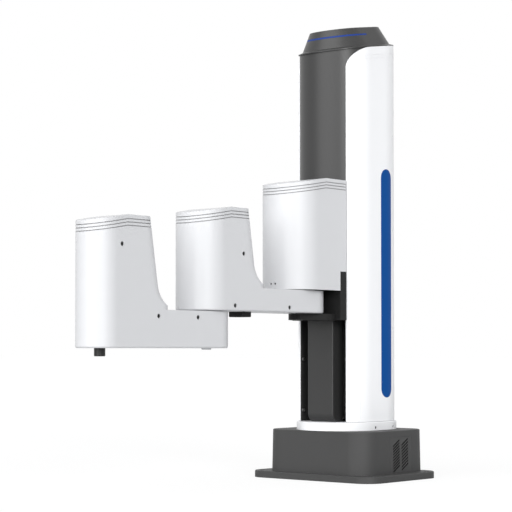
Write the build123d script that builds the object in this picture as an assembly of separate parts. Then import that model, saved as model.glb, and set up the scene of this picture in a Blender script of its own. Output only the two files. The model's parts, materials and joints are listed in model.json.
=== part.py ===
from build123d import *
import math
import os

# Four-axis column robot arm, millimetres. +X is the arm's reach, +Y its left, +Z up.
# The origin is the centre of the base plate's underside.

# Base plate and housing
plate_depth = 175.0
plate_width = 230.0
plate_thickness = 10.0
plate_corner = 27.0
base_bolt_spacing_x = 130.0
base_bolt_spacing_y = 209.0
base_bolt_radius = 4.5
housing_front_x = 75.0
housing_rear_x = -86.0
housing_half_width = 94.2
housing_draft = 1.3
housing_corner = 32.0
housing_top_z = 72.0
housing_wall = 3.0
vent_panel_centre_x = -15.0
vent_panel_length = 54.0
vent_panel_bottom_z = 11.5
vent_panel_height = 51.0
vent_panel_thickness = 1.5
vent_slit_length = 18.5
vent_slit_width = 1.9
vent_slit_angle = 30.0
# Each vent column: its centre along X and Z, its number of slits and their pitch
vent_columns = ((-4.0, 35.2, 10, 4.1), (-25.0, 36.8, 9, 4.5))
panel_gap = 0.2

# Column: a stadium in plan
column_front_centre_x = 12.0
column_rear_centre_x = -26.0
column_radius = 60.0
cover_wall = 2.7
cover_bottom_z = 85.0
cover_front_x = 50.3
rear_seam_x = -56.0
seam_gap = 0.3
rim_z = 643.5
rim_tilt = 9.8
rim_thickness = 3.5
rim_bevel_height = 2.0
cover_corner_length = 36.0
cover_corner_height = 27.0
panel_line_offset = 11.8
panel_line_spacing = 4.8
panel_line_width = 0.7
panel_line_depth = 0.5
stripe_front_x = -13.0
stripe_rear_x = -40.5
stripe_bottom_z = 119.4
stripe_top_z = 459.5
stripe_depth = 0.8
cover_screw_heights = (221.4, 368.6, 510.6)

# Foot ring under the column covers
ring_height = 12.5
ring_overhang = 3.0
ring_wall = 6.0
ring_deck = 3.0

# Dark front covers and cap
front_cover_radius = 58.0
front_cover_wall = 2.5
front_cover_bottom_z = 438.0
slot_ceiling = 3.0
screw_cover_half_width = 23.6
screw_cover_front_x = 57.0
screw_cover_rear_x = 29.5
screw_cover_wall = 3.0
screw_cover_foot_radius = 12.0
screw_cover_top_z = 440.0
cap_inset = 6.0
cap_height = 27.5
cap_taper = 26.7
cap_wall = 3.0
light_rise = 15.4
light_height = 2.3
light_depth = 1.4
light_end_x = 3.0

# Column frame, rails and lift drive
web_front_x = -20.0
web_thickness = 10.0
frame_inner_half_width = 41.6
frame_wall = 4.0
frame_rear_x = -58.0
frame_front_x = 49.6
frame_top_z = 622.0
frame_clearance = 0.5
rail_width = 12.0
rail_height = 8.0
rail_spacing = 54.0
rail_bottom_z = 96.0
rail_top_z = 468.0
lift_screw_x = 12.0
lift_screw_radius = 8.0
lift_journal_radius = 5.0
bearing_block_height = 16.0
lower_bearing_z = 88.0
upper_bearing_z = 474.0
bearing_block_half_width = 19.0
motor_plate_z = 524.0
motor_plate_thickness = 6.0
lift_motor_size = 60.0
lift_motor_length = 74.0
coupling_radius = 13.0
coupling_length = 28.0
run_gap = 0.05

# Carriage
shelf_bottom_z = 233.4
shelf_thickness = 9.0
bracket_rear_x = 52.0
bracket_front_x = 66.0
bracket_top_z = 304.0
bracket_half_width = 45.0
carriage_arm_inner_y = 28.0
carriage_arm_outer_y = 36.5
carriage_arm_top_z = 298.0
carriage_arm_bottom_z = 237.0
carriage_plate_front_x = 3.0
carriage_plate_thickness = 10.0
carriage_plate_top_z = 318.0
guide_block_length = 38.0
guide_block_width = 24.0
pivot_boss_radius = 16.0
pivot_pin_radius = 6.0
platform_thickness = 12.0

# Arm axes
shoulder_axis_x = 105.0
link_length = 200.0
elbow_axis_x = shoulder_axis_x + link_length
wrist_axis_x = elbow_axis_x + link_length

# Arm housings
shoulder_bottom_z = 276.3
shoulder_top_z = 437.4
shoulder_half_width = 45.0
shoulder_nose_x = 118.0
shoulder_ridge_x = 98.8
shoulder_column_gap = 1.5
rear_arm_bottom_z = 243.0
rear_arm_deck_z = 275.2
rear_arm_top_z = 383.6
rear_arm_rear_radius = 34.7
rear_arm_nose_radius = 38.0
rear_arm_nose_shift = 5.5
rear_arm_ridge_x = 296.2
rear_arm_back_x = 247.0
rear_arm_foot_x = 214.5
rear_arm_back_corner = 22.0
forearm_bottom_z = 192.3
forearm_deck_z = 242.1
forearm_top_z = 361.9
forearm_rear_radius = 29.5
forearm_nose_radius = 31.0
forearm_ridge_x = 485.7
forearm_back_x = 433.4
forearm_foot_x = 400.5
forearm_back_corner = 20.0
tower_lip = 5.8
tower_foot_radius = 37.0
tower_back_lean = 9.2
tower_roof_slope = 10.0
tower_edge_radius = 2.0
tower_wall = 2.5
arm_wall = 4.0
arm_floor = 6.0
arm_edge_radius = 2.5
groove_first = 5.6
groove_pitch = 4.2
groove_count = 3
groove_width = 1.2
groove_depth = 0.9

# Joint hubs, motors and the wrist
shoulder_hub_radius = 22.0
elbow_hub_radius = 18.0
joint_motor_size = 60.0
wrist_motor_size = 42.0
wrist_shaft_radius = 7.25
wrist_journal_radius = 7.5
wrist_shaft_bottom_z = 181.8
wrist_bearing_radius = 13.0
wrist_bearing_height = 8.0
elbow_cap_radius = 6.75
elbow_cap_height = 2.0
stop_block_front_x = 245.5
stop_block_rear_x = 226.0
stop_block_half_width = 12.0
stop_block_height = 7.4

# Fasteners
recess_screw_x = 45.3
recess_screw_radius = 2.8
recess_screw_bottom_z = 100.6
recess_screw_pitch = 75.5
arm_screw_radius = 2.9
cover_screw_radius = 2.2
nose_screw_radius = 1.5
nose_screw_angles = (-7.0, 3.0)
nose_screw_rise = 8.0
side_screw_recess = 1.2
side_screw_head = 2.6
small_gap = 0.15


def prism(face, bottom, top):
    return extrude(Pos(0, 0, bottom) * face, top - bottom)


def box(x0, x1, y0, y1, z0, z1):
    return Pos((x0 + x1) / 2, (y0 + y1) / 2, (z0 + z1) / 2) * Box(x1 - x0, y1 - y0, z1 - z0)


def upright(x, y, z0, z1, radius):
    return Pos(x, y, (z0 + z1) / 2) * Cylinder(radius, z1 - z0)


def crosswise(x, z, y0, y1, radius):
    return Pos(x, (y0 + y1) / 2, z) * Rot(90, 0, 0) * Cylinder(radius, abs(y1 - y0))


def lengthwise(y, z, x0, x1, radius):
    return Pos((x0 + x1) / 2, y, z) * Rot(0, 90, 0) * Cylinder(radius, x1 - x0)


def side_prism(points, half_width):
    outline = make_face(Plane.XZ * Polyline(*points, close=True))
    return extrude(outline, amount=half_width, both=True)


def link_plan(rear_x, rear_radius, nose_x, nose_radius):
    """Two round ends joined by their common tangents."""
    lean = math.acos((rear_radius - nose_radius) / (nose_x - rear_x))
    rear = (rear_x + rear_radius * math.cos(lean), rear_radius * math.sin(lean))
    nose = (nose_x + nose_radius * math.cos(lean), nose_radius * math.sin(lean))
    edges = [
        Line(rear, nose),
        ThreePointArc(nose, (nose_x + nose_radius, 0), (nose[0], -nose[1])),
        Line((nose[0], -nose[1]), (rear[0], -rear[1])),
        ThreePointArc((rear[0], -rear[1]), (rear_x - rear_radius, 0), rear),
    ]
    return make_face(edges)


def column_plan(radius):
    return link_plan(column_rear_centre_x, radius, column_front_centre_x, radius)


def save(name, shape):
    export_step(Compound(children=list(shape.solids())), f"parts/{name}.step")


def rounded_rectangle(x0, x1, half_width, corner):
    return Pos((x0 + x1) / 2, 0) * RectangleRounded(x1 - x0, 2 * half_width, corner)


# Base

def base_plate():
    plate = prism(RectangleRounded(plate_depth, plate_width, plate_corner), 0, plate_thickness)
    plate = chamfer(plate.faces().sort_by(Axis.Z)[-1].edges(), 1.0)
    for x in (-base_bolt_spacing_x / 2, base_bolt_spacing_x / 2):
        for y in (-base_bolt_spacing_y / 2, base_bolt_spacing_y / 2):
            plate -= upright(x, y, -1, plate_thickness + 1, base_bolt_radius)
    return plate


def housing_plan(inset):
    return rounded_rectangle(
        housing_rear_x + inset, housing_front_x - inset, housing_half_width - inset, housing_corner - inset
    )


def housing_outer(inset):
    """The drafted block, narrower at its top, drawn in by inset on every side but the bottom."""
    low = Pos(0, 0, plate_thickness) * housing_plan(inset)
    high = Pos(0, 0, housing_top_z - inset) * housing_plan(inset + housing_draft)
    return loft([low, high], ruled=True)


def vent_window(side, grow):
    x0 = vent_panel_centre_x - vent_panel_length / 2 - grow
    z0 = vent_panel_bottom_z - grow
    y0 = side * (housing_half_width - housing_wall - 1)
    y1 = side * (housing_half_width + 1)
    return box(x0, x0 + vent_panel_length + 2 * grow, min(y0, y1), max(y0, y1),
               z0, z0 + vent_panel_height + 2 * grow)


rear_panel_half_width = 56.0
rear_panel_bottom_z = 15.0
rear_panel_height = 50.0
rear_panel_thickness = 2.0
rear_panel_x = housing_rear_x + 1.3
frame_window_gap = 1.0


def frame_window(grow):
    return rounded_rectangle(frame_rear_x - grow, frame_front_x + grow,
                             frame_inner_half_width + frame_wall + grow, 3.0)


def base_housing():
    shell = housing_outer(0)
    shell = fillet(shell.faces().sort_by(Axis.Z)[-1].edges(), 1.5)
    shell -= housing_outer(housing_wall)
    shell -= prism(frame_window(frame_window_gap), housing_top_z - 10, housing_top_z + 1)
    for side in (-1, 1):
        shell -= vent_window(side, panel_gap)
    shell -= box(housing_rear_x - 1, housing_rear_x + housing_wall + 1,
                 -rear_panel_half_width - panel_gap, rear_panel_half_width + panel_gap,
                 rear_panel_bottom_z - panel_gap, rear_panel_bottom_z + rear_panel_height + panel_gap)
    return shell


def vent_panels():
    panels = []
    wall = housing_outer(0) - housing_outer(vent_panel_thickness)
    for side in (-1, 1):
        panel = wall & vent_window(side, 0)
        slits = []
        for x, middle_z, count, pitch in vent_columns:
            for row in range(count):
                z = middle_z + (row - (count - 1) / 2) * pitch
                slot = Rot(0, vent_slit_angle, 0) * Box(vent_slit_length, 4 * housing_wall, vent_slit_width)
                slits.append(Pos(x, side * housing_half_width, z) * slot)
        panels.append(panel - slits)
    return Part() + panels


inlet_y = -38.0
button_y = -10.0
jack_ys = (12.0, 29.0)
stop_socket_y = 46.0
connector_z = rear_panel_bottom_z + rear_panel_height / 2
button_radius = 6.0
button_travel = 2.5
button_proud = 4.0
bezel_height = 2.5


def rear_panel():
    x0 = rear_panel_x
    panel = box(x0, x0 + rear_panel_thickness, -rear_panel_half_width, rear_panel_half_width,
                rear_panel_bottom_z, rear_panel_bottom_z + rear_panel_height)
    panel = fillet(panel.edges().filter_by(Axis.X), 2.0)
    panel -= box(x0 - 1, x0 + 9, inlet_y - 14, inlet_y + 14, connector_z - 10, connector_z + 10)
    panel -= lengthwise(button_y, connector_z, x0 - 1, x0 + 9, button_radius + 2)
    for y in jack_ys:
        panel -= box(x0 - 1, x0 + 9, y - 7, y + 7, connector_z - 6, connector_z + 6)
    panel -= lengthwise(stop_socket_y, connector_z, x0 - 1, x0 + 9, 7.0)
    return panel


def power_inlet():
    x0 = rear_panel_x - 2.0
    body = box(x0, x0 + 24, inlet_y - 13.8, inlet_y + 13.8, connector_z - 9.8, connector_z + 9.8)
    body += box(x0, rear_panel_x, inlet_y - 17, inlet_y + 17, connector_z - 12.5, connector_z + 12.5)
    cavity = box(x0 - 1, x0 + 15, inlet_y - 10.5, inlet_y + 10.5, connector_z - 6.5, connector_z + 6.5)
    body -= chamfer(cavity.edges().filter_by(Axis.X).sort_by(Axis.Z)[-2:], 4.0)
    for y in (-6.0, 0.0, 6.0):
        rise = 2.0 if y == 0 else -1.5
        body += box(x0 + 5, x0 + 16, inlet_y + y - 1, inlet_y + y + 1,
                    connector_z + rise - 2, connector_z + rise + 2)
    return body


def button_bezel():
    x0 = rear_panel_x - bezel_height
    bezel = lengthwise(button_y, connector_z, x0, rear_panel_x, button_radius + 4)
    bezel += lengthwise(button_y, connector_z, rear_panel_x, x0 + 18, button_radius + 1.8)
    bezel -= lengthwise(button_y, connector_z, x0 - 1, x0 + 15, button_radius + run_gap)
    return bezel


def power_button():
    x0 = rear_panel_x - bezel_height - button_proud
    button = lengthwise(button_y, connector_z, x0, x0 + 14, button_radius)
    return chamfer(button.faces().sort_by(Axis.X)[0].edges(), 0.8)


def network_jacks():
    x0 = rear_panel_x - 1.0
    jacks = []
    for y in jack_ys:
        jack = box(x0, x0 + 18, y - 6.8, y + 6.8, connector_z - 5.8, connector_z + 5.8)
        jack -= box(x0 - 1, x0 + 12, y - 5.8, y + 5.8, connector_z - 4.6, connector_z + 3.0)
        jack -= box(x0 - 1, x0 + 12, y - 3.0, y + 3.0, connector_z - 1.0, connector_z + 5.0)
        jacks.append(jack)
    return Part() + jacks


def stop_socket():
    x0 = rear_panel_x - 7.5
    socket = lengthwise(stop_socket_y, connector_z, rear_panel_x - 2.0, rear_panel_x, 9.0)
    socket += lengthwise(stop_socket_y, connector_z, x0, x0 + 20, 6.8)
    socket -= lengthwise(stop_socket_y, connector_z, x0 - 1, x0 + 10, 5.4)
    for turn in range(4):
        angle = math.radians(45 + 90 * turn)
        socket += lengthwise(stop_socket_y + 3 * math.cos(angle), connector_z + 3 * math.sin(angle),
                             x0 + 5, x0 + 11, 0.6)
    return socket


supply_length = 120.0
supply_centre_x = -2.0
supply_width = 36.0
supply_height = 44.0


def power_supply():
    y0 = -(frame_inner_half_width + frame_wall + 4)
    supply = box(supply_centre_x - supply_length / 2, supply_centre_x + supply_length / 2,
                 y0 - supply_width, y0, plate_thickness, plate_thickness + supply_height)
    supply = chamfer(supply.edges().filter_by(Axis.X), 1.5)
    for slot in range(9):
        x = supply_centre_x - 48 + 12 * slot
        supply -= box(x - 1.5, x + 1.5, y0 - supply_width + 6, y0 - 6,
                      plate_thickness + supply_height - 1.5, plate_thickness + supply_height + 1)
    return supply


# Column

ring_top_z = housing_top_z + ring_height


def foot_ring():
    ring = prism(column_plan(column_radius + ring_overhang), housing_top_z, ring_top_z)
    ring = fillet(ring.faces().sort_by(Axis.Z)[-1].edges(), 1.5)
    ring -= prism(column_plan(column_radius + ring_overhang - ring_wall),
                  housing_top_z - 1, ring_top_z - ring_deck)
    ring -= prism(frame_window(frame_window_gap), housing_top_z, ring_top_z + 1)
    bridge = box(screw_cover_rear_x - 12, frame_front_x + frame_window_gap + 1,
                 -frame_inner_half_width + seam_gap, frame_inner_half_width - seam_gap,
                 ring_top_z - ring_deck, ring_top_z)
    ring += bridge
    return without_pockets(ring, foot_screw_places())


def under_rim(drop):
    """Everything below the sloping rim plane, lowered square to it by drop."""
    size = 900.0
    return Pos(0, 0, rim_z) * Rot(0, rim_tilt, 0) * Pos(0, 0, -drop - size / 2) * Box(size, size, size)


def cover_side_face(grow):
    """Side view of what the white covers fill, with its round upper front corner."""
    slope = math.tan(math.radians(rim_tilt))
    front = cover_front_x + grow
    lift = grow / math.cos(math.radians(rim_tilt))
    corner_length = cover_corner_length + 1.3 * grow
    corner_height = cover_corner_height + grow
    corner_end_x = front - corner_length
    top_z = rim_z - rim_thickness / math.cos(math.radians(rim_tilt)) + lift
    corner_end = (corner_end_x, top_z - slope * corner_end_x)
    corner_start = (front, top_z - slope * front - corner_height)
    pull_x = corner_end_x + 0.5 * corner_length
    far = -150.0
    bottom = cover_bottom_z - 40
    outline = [
        Line((far, bottom), (front, bottom)),
        Line((front, bottom), corner_start),
        Bezier(corner_start, (front, corner_start[1] + 0.62 * corner_height),
               (pull_x, top_z - slope * pull_x), corner_end),
        Line(corner_end, (far, top_z - slope * far)),
        Line((far, top_z - slope * far), (far, bottom)),
    ]
    return make_face([Plane.XZ * edge for edge in outline])


def cover_region(grow):
    return extrude(cover_side_face(grow), amount=80, both=True)


def screw_pocket(x, y, z, angle, radius):
    """A round recess whose axis lies level at this angle to +X, sunk from the surface point."""
    depth = side_screw_recess + side_screw_head
    recess = Rot(0, 90, 0) * Cylinder(radius + small_gap, depth + 2)
    return Pos(x, y, z) * Rot(0, 0, angle) * Pos(-depth / 2 + 1, 0, 0) * recess


def screw_in_pocket(x, y, z, angle, radius):
    head = Cylinder(radius, side_screw_head)
    socket_depth = side_screw_head / 2
    head -= Pos(0, 0, side_screw_head / 2) * extrude(RegularPolygon(0.55 * radius, 6), amount=-socket_depth)
    centre = -side_screw_recess - side_screw_head / 2
    return Pos(x, y, z) * Rot(0, 0, angle) * Pos(centre, 0, 0) * Rot(0, 90, 0) * head


def stadium_point(radius, angle):
    """Point on the column's rear half circle, at this angle to +X."""
    across = radius * math.sin(math.radians(angle))
    return column_rear_centre_x + radius * math.cos(math.radians(angle)), across


cover_screw_angle = 113.0
foot_screw_angle = 104.0


def cover_screw_places():
    places = []
    for side in (-1, 1):
        x, y = stadium_point(column_radius, side * cover_screw_angle)
        angle = side * cover_screw_angle
        places += [(x, y, z, angle, cover_screw_radius) for z in cover_screw_heights]
    return places


def foot_screw_places():
    radius = column_radius + ring_overhang
    z = housing_top_z + 0.32 * ring_height
    places = []
    for side in (-1, 1):
        places.append((4.5, side * radius, z, side * 90.0, cover_screw_radius))
        x, y = stadium_point(radius, side * foot_screw_angle)
        places.append((x, y, z, side * foot_screw_angle, cover_screw_radius))
    return places


def column_shell(outer, wall, bottom):
    return prism(column_plan(outer), bottom, 760) - prism(column_plan(outer - wall), bottom - 1, 761)


def panel_lines():
    """Two fine grooves that follow the front edge and the top edge of each side cover."""
    skin = column_shell(column_radius + 1, 1 + panel_line_depth, cover_bottom_z - 1)
    lines = []
    for index in range(2):
        inner = -(panel_line_offset + index * panel_line_spacing)
        band = cover_region(inner) - cover_region(inner - panel_line_width)
        lines.append(band & skin)
    return lines


def stripe_region(shrink):
    """The stadium-ended stripe as seen from the side, both sides at once."""
    length = stripe_top_z - stripe_bottom_z - 2 * shrink
    width = stripe_front_x - stripe_rear_x - 2 * shrink
    middle_x = (stripe_front_x + stripe_rear_x) / 2
    middle_z = (stripe_top_z + stripe_bottom_z) / 2
    face = Plane.XZ * Pos(middle_x, middle_z) * RectangleRounded(width, length, width / 2 - 0.01)
    return extrude(face, amount=80, both=True)


def white_shell():
    return column_shell(column_radius, cover_wall, cover_bottom_z) & cover_region(0)


def side_covers():
    shell = white_shell()
    stripe_bed = column_shell(column_radius + 1, 1 + stripe_depth, cover_bottom_z - 1) & stripe_region(0)
    shell -= stripe_bed
    for groove in panel_lines():
        shell -= groove
    shell = without_pockets(shell, cover_screw_places())
    covers = {}
    for name, side in (("right", -1), ("left", 1)):
        half = box(rear_seam_x, 100, min(0, side * 90), max(0, side * 90), 0, 700)
        covers[name] = shell & half
    return covers


def rear_cover():
    shell = white_shell()
    cover = shell & box(-150, rear_seam_x - seam_gap, -90, 90, 0, 700)
    return cover


def stripes():
    skin = column_shell(column_radius, stripe_depth, cover_bottom_z) & stripe_region(0.05)
    return skin


def tilted_plan(radius):
    """The column's outline as the sloping rim plane cuts it."""
    stretch = 1 / math.cos(math.radians(rim_tilt))
    return link_plan(column_rear_centre_x * stretch, radius, column_front_centre_x * stretch, radius)


def tilted(shape):
    return Pos(0, 0, rim_z) * Rot(0, rim_tilt, 0) * shape


def front_cover():
    """Dark upper front with the bevelled rim that closes the column over the white covers."""
    skin = column_shell(front_cover_radius, front_cover_wall, front_cover_bottom_z)
    skin = (skin & under_rim(rim_thickness)) - cover_region(seam_gap)
    skin &= box(cover_front_x - cover_corner_length - 1, 100, -90, 90, front_cover_bottom_z, 700)
    rim = prism(column_plan(column_radius), 560, 700)
    rim &= under_rim(rim_bevel_height) - under_rim(rim_thickness)
    bevel_low = Pos(0, 0, -rim_bevel_height) * tilted_plan(column_radius - 0.3)
    rim += tilted(loft([bevel_low, tilted_plan(column_radius - cap_inset)], ruled=True))
    half = frame_inner_half_width - seam_gap
    ceiling = prism(column_plan(front_cover_radius), front_cover_bottom_z,
                    front_cover_bottom_z + slot_ceiling)
    ceiling &= box(screw_cover_rear_x - 6, 100, -half, half, front_cover_bottom_z,
                   front_cover_bottom_z + slot_ceiling)
    channel_half = screw_cover_half_width + seam_gap
    ceiling -= box(screw_cover_rear_x - 7, screw_cover_front_x + seam_gap, -channel_half, channel_half,
                   front_cover_bottom_z - 1, front_cover_bottom_z + 9)
    return skin + rim + ceiling


def screw_cover():
    """Channel that closes the lift screw in between the two slots, rounded at its foot."""
    outer = box(screw_cover_rear_x, screw_cover_front_x, -screw_cover_half_width, screw_cover_half_width,
                ring_top_z, screw_cover_top_z)
    outer = fillet(outer.edges().filter_by(Axis.Y).sort_by(Axis.Z)[:2], screw_cover_foot_radius)
    outer = fillet(outer.edges().filter_by(Axis.Z).sort_by(Axis.X)[-2:], 1.5)
    inner = box(screw_cover_rear_x - 1, screw_cover_front_x - screw_cover_wall,
                -screw_cover_half_width + screw_cover_wall, screw_cover_half_width - screw_cover_wall,
                ring_top_z + screw_cover_foot_radius, screw_cover_top_z + 1)
    return outer - inner


def cap_cone(inset, low, high):
    """Part of the tapered cap between two heights above the rim, inset from its outer skin."""
    narrowing = math.tan(math.radians(cap_taper))
    base = column_radius - cap_inset - inset
    low_plan = Pos(0, 0, low) * tilted_plan(base - low * narrowing)
    high_plan = Pos(0, 0, high) * tilted_plan(base - high * narrowing)
    return loft([low_plan, high_plan], ruled=True)


def light_band(grow, depth):
    low = light_rise - grow
    high = light_rise + light_height + grow
    band = cap_cone(0, low, high) - cap_cone(depth, low - 1, high + 1)
    return tilted(band) & box(light_end_x - grow, 150, -90, 90, 500, 760)


def top_cap():
    cone = cap_cone(0, 0, cap_height)
    cone = fillet(cone.faces().sort_by(Axis.Z)[-1].edges(), 1.2)
    cone -= cap_cone(cap_wall, -1, cap_height - cap_wall)
    return tilted(cone) - light_band(0.1, light_depth + 0.1)


def status_light():
    return light_band(0, light_depth)


# Inside the column

def column_frame():
    """Aluminium profile of H section with bosses for the cover screws."""
    half = frame_inner_half_width
    outline = Pos((frame_rear_x + frame_front_x) / 2, half + frame_wall / 2) * Rectangle(
        frame_front_x - frame_rear_x, frame_wall
    )
    outline += mirror(outline, Plane.XZ)
    outline += Pos(web_front_x - web_thickness / 2, 0) * Rectangle(web_thickness, 2 * half)
    bound = column_plan(column_radius - cover_wall - frame_clearance)
    frame = prism(outline & bound, plate_thickness, frame_top_z)
    frame &= under_rim(rim_thickness + 1)
    inside_front_cover = column_plan(front_cover_radius - front_cover_wall - frame_clearance)
    upper_bound = prism(inside_front_cover, front_cover_bottom_z - frame_clearance, frame_top_z + 1)
    frame -= box(0, 100, -90, 90, front_cover_bottom_z - frame_clearance, frame_top_z + 1) - upper_bound
    bosses = []
    for side in (-1, 1):
        for z in cover_screw_heights:
            y0 = side * (half + frame_wall)
            y1 = side * (column_radius - 3)
            boss = box(frame_rear_x, frame_rear_x + 14, min(y0, y1), max(y0, y1), z - 7, z + 7)
            bosses.append(boss & prism(bound, z - 8, z + 8))
    frame += bosses
    return without_pockets(frame, cover_screw_places())


def linear_rails():
    rails = []
    for y in (-rail_spacing / 2, rail_spacing / 2):
        rail = box(web_front_x, web_front_x + rail_height, y - rail_width / 2, y + rail_width / 2,
                   rail_bottom_z, rail_top_z)
        for side in (-1, 1):
            face_y = y + side * rail_width / 2
            rail -= box(web_front_x + 3.2, web_front_x + 5.2, face_y - 1.2, face_y + 1.2,
                        rail_bottom_z - 1, rail_top_z + 1)
        rails.append(rail)
    return Part() + rails


def bearing_block(z0):
    block = box(web_front_x, lift_screw_x + 16, -bearing_block_half_width, bearing_block_half_width,
                z0, z0 + bearing_block_height)
    block = fillet(block.edges().filter_by(Axis.Z).sort_by(Axis.X)[-2:], 8.0)
    return block - upright(lift_screw_x, 0, z0 - 1, z0 + bearing_block_height + 1, lift_journal_radius + run_gap)


def motor_plate():
    plate = box(web_front_x, frame_front_x - 6, -frame_inner_half_width, frame_inner_half_width,
                motor_plate_z, motor_plate_z + motor_plate_thickness)
    return plate - upright(lift_screw_x, 0, motor_plate_z - 1, motor_plate_z + 20, coupling_radius + 2)


def stepped_motor(x, size, z0, length, pilot):
    """A square servo motor standing on z0: flange, waisted body and rear cap with its plug."""
    flange = box(x - size / 2, x + size / 2, -size / 2, size / 2, z0, z0 + 8)
    flange = fillet(flange.edges().filter_by(Axis.Z), 4.0)
    body = box(x - size / 2 + 1.5, x + size / 2 - 1.5, -size / 2 + 1.5, size / 2 - 1.5, z0 + 8, z0 + 0.72 * length)
    body = chamfer(body.edges().filter_by(Axis.Z), 6.0)
    rear = box(x - size / 2 + 4, x + size / 2 - 4, -size / 2 + 4, size / 2 - 4, z0 + 0.72 * length, z0 + length)
    rear = fillet(rear.edges().filter_by(Axis.Z), 5.0)
    return flange + body + rear - upright(x, 0, z0 - 1, z0 + 4, pilot)


def lift_motor():
    return stepped_motor(lift_screw_x, lift_motor_size, motor_plate_z + motor_plate_thickness,
                         lift_motor_length, 9.0)


def lift_screw():
    top_of_lower = lower_bearing_z + bearing_block_height
    shaft = upright(lift_screw_x, 0, lower_bearing_z - 2, upper_bearing_z + bearing_block_height + 12,
                    lift_journal_radius)
    shaft += upright(lift_screw_x, 0, top_of_lower + 1, upper_bearing_z - 1, lift_screw_radius)
    return shaft


def shaft_coupling():
    z0 = upper_bearing_z + bearing_block_height + 4
    body = upright(lift_screw_x, 0, z0, z0 + coupling_length, coupling_radius)
    body -= upright(lift_screw_x, 0, z0 - 1, z0 + 8.01, lift_journal_radius)
    for turn in range(3):
        z = z0 + 11 + 3 * turn
        side = 1 if turn % 2 else -1
        body -= Pos(lift_screw_x + side * 6, 0, z) * Box(30, 40, 0.8) & upright(
            lift_screw_x, 0, z - 1, z + 1, coupling_radius + 1
        )
    return body


def control_board():
    x1 = web_front_x - web_thickness - 8
    board = box(x1 - 1.6, x1, -36, 36, 130, 400)
    for z in (150, 210, 270, 330):
        board += box(x1 - 1.6 - 9, x1 - 1.6, -28, -6, z, z + 40)
        board += box(x1 - 1.6 - 6, x1 - 1.6, 8, 30, z + 6, z + 34)
    for z in (140, 390):
        for y in (-31, 31):
            board += lengthwise(y, z, x1, web_front_x - web_thickness, 2.5)
    return board


def recess_screws():
    """Button-head screws through the frame's inner faces into the front edges of the covers."""
    screws = []
    for side in (-1, 1):
        for step in range(5):
            z = recess_screw_bottom_z + recess_screw_pitch * step
            y = side * frame_inner_half_width
            inner = y - side * 2.0
            head = crosswise(recess_screw_x, z, min(y, inner), max(y, inner), recess_screw_radius)
            rim = head.faces().sort_by(Axis.Y)[0 if side > 0 else -1]
            screws.append(chamfer(rim.edges(), 0.7))
    return Part() + screws


def cover_screws():
    return Part() + [screw_in_pocket(*place) for place in cover_screw_places() + foot_screw_places()]


# Carriage

def guide_blocks():
    blocks = []
    x0 = web_front_x + 2.0
    x1 = carriage_plate_front_x - carriage_plate_thickness
    for y in (-rail_spacing / 2, rail_spacing / 2):
        for z in (shelf_bottom_z + 2, carriage_plate_top_z - guide_block_length - 2):
            block = box(x0, x1, y - guide_block_width / 2, y + guide_block_width / 2, z, z + guide_block_length)
            block = chamfer(block.edges().filter_by(Axis.Z), 1.5)
            block -= box(x0 - 1, web_front_x + rail_height + 0.1, y - rail_width / 2 - 0.1,
                         y + rail_width / 2 + 0.1, z - 1, z + guide_block_length + 1)
            blocks.append(block)
    return Part() + blocks


nut_radius = 14.0
nut_flange_radius = 22.0
nut_flange_height = 8.0
nut_length = 36.0
nut_bottom_z = 262.0


def carriage_plate():
    x0 = carriage_plate_front_x - carriage_plate_thickness
    half = carriage_arm_outer_y
    plate = box(x0, carriage_plate_front_x, -half, half, shelf_bottom_z, carriage_plate_top_z)
    plate = fillet(plate.edges().filter_by(Axis.X), 4.0)
    seat = box(carriage_plate_front_x, lift_screw_x + 13, -23.5, 23.5, nut_bottom_z - 12, nut_bottom_z)
    seat = fillet(seat.edges().filter_by(Axis.Z).sort_by(Axis.X)[-2:], 6.0)
    plate += seat
    plate -= upright(lift_screw_x, 0, shelf_bottom_z - 1, carriage_plate_top_z + 1, nut_radius + 0.5)
    return plate - upright(lift_screw_x, 0, nut_bottom_z, carriage_plate_top_z + 1, nut_flange_radius + 0.5)


def ball_nut():
    nut = upright(lift_screw_x, 0, nut_bottom_z, nut_bottom_z + nut_flange_height, nut_flange_radius)
    nut += upright(lift_screw_x, 0, nut_bottom_z - 10, nut_bottom_z + nut_length, nut_radius)
    nut &= box(lift_screw_x - 30, lift_screw_x + nut_radius, -nut_flange_radius, nut_flange_radius,
               nut_bottom_z - 20, nut_bottom_z + 60)
    return nut - upright(lift_screw_x, 0, nut_bottom_z - 20, nut_bottom_z + 60, lift_screw_radius + run_gap)


def shoulder_plan(inset):
    nose = shoulder_half_width - inset
    edges = [
        Line((bracket_rear_x + inset, -nose), (shoulder_nose_x, -nose)),
        ThreePointArc((shoulder_nose_x, -nose), (shoulder_nose_x + nose, 0), (shoulder_nose_x, nose)),
        Line((shoulder_nose_x, nose), (bracket_rear_x + inset, nose)),
        Line((bracket_rear_x + inset, nose), (bracket_rear_x + inset, -nose)),
    ]
    return make_face(edges)


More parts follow.
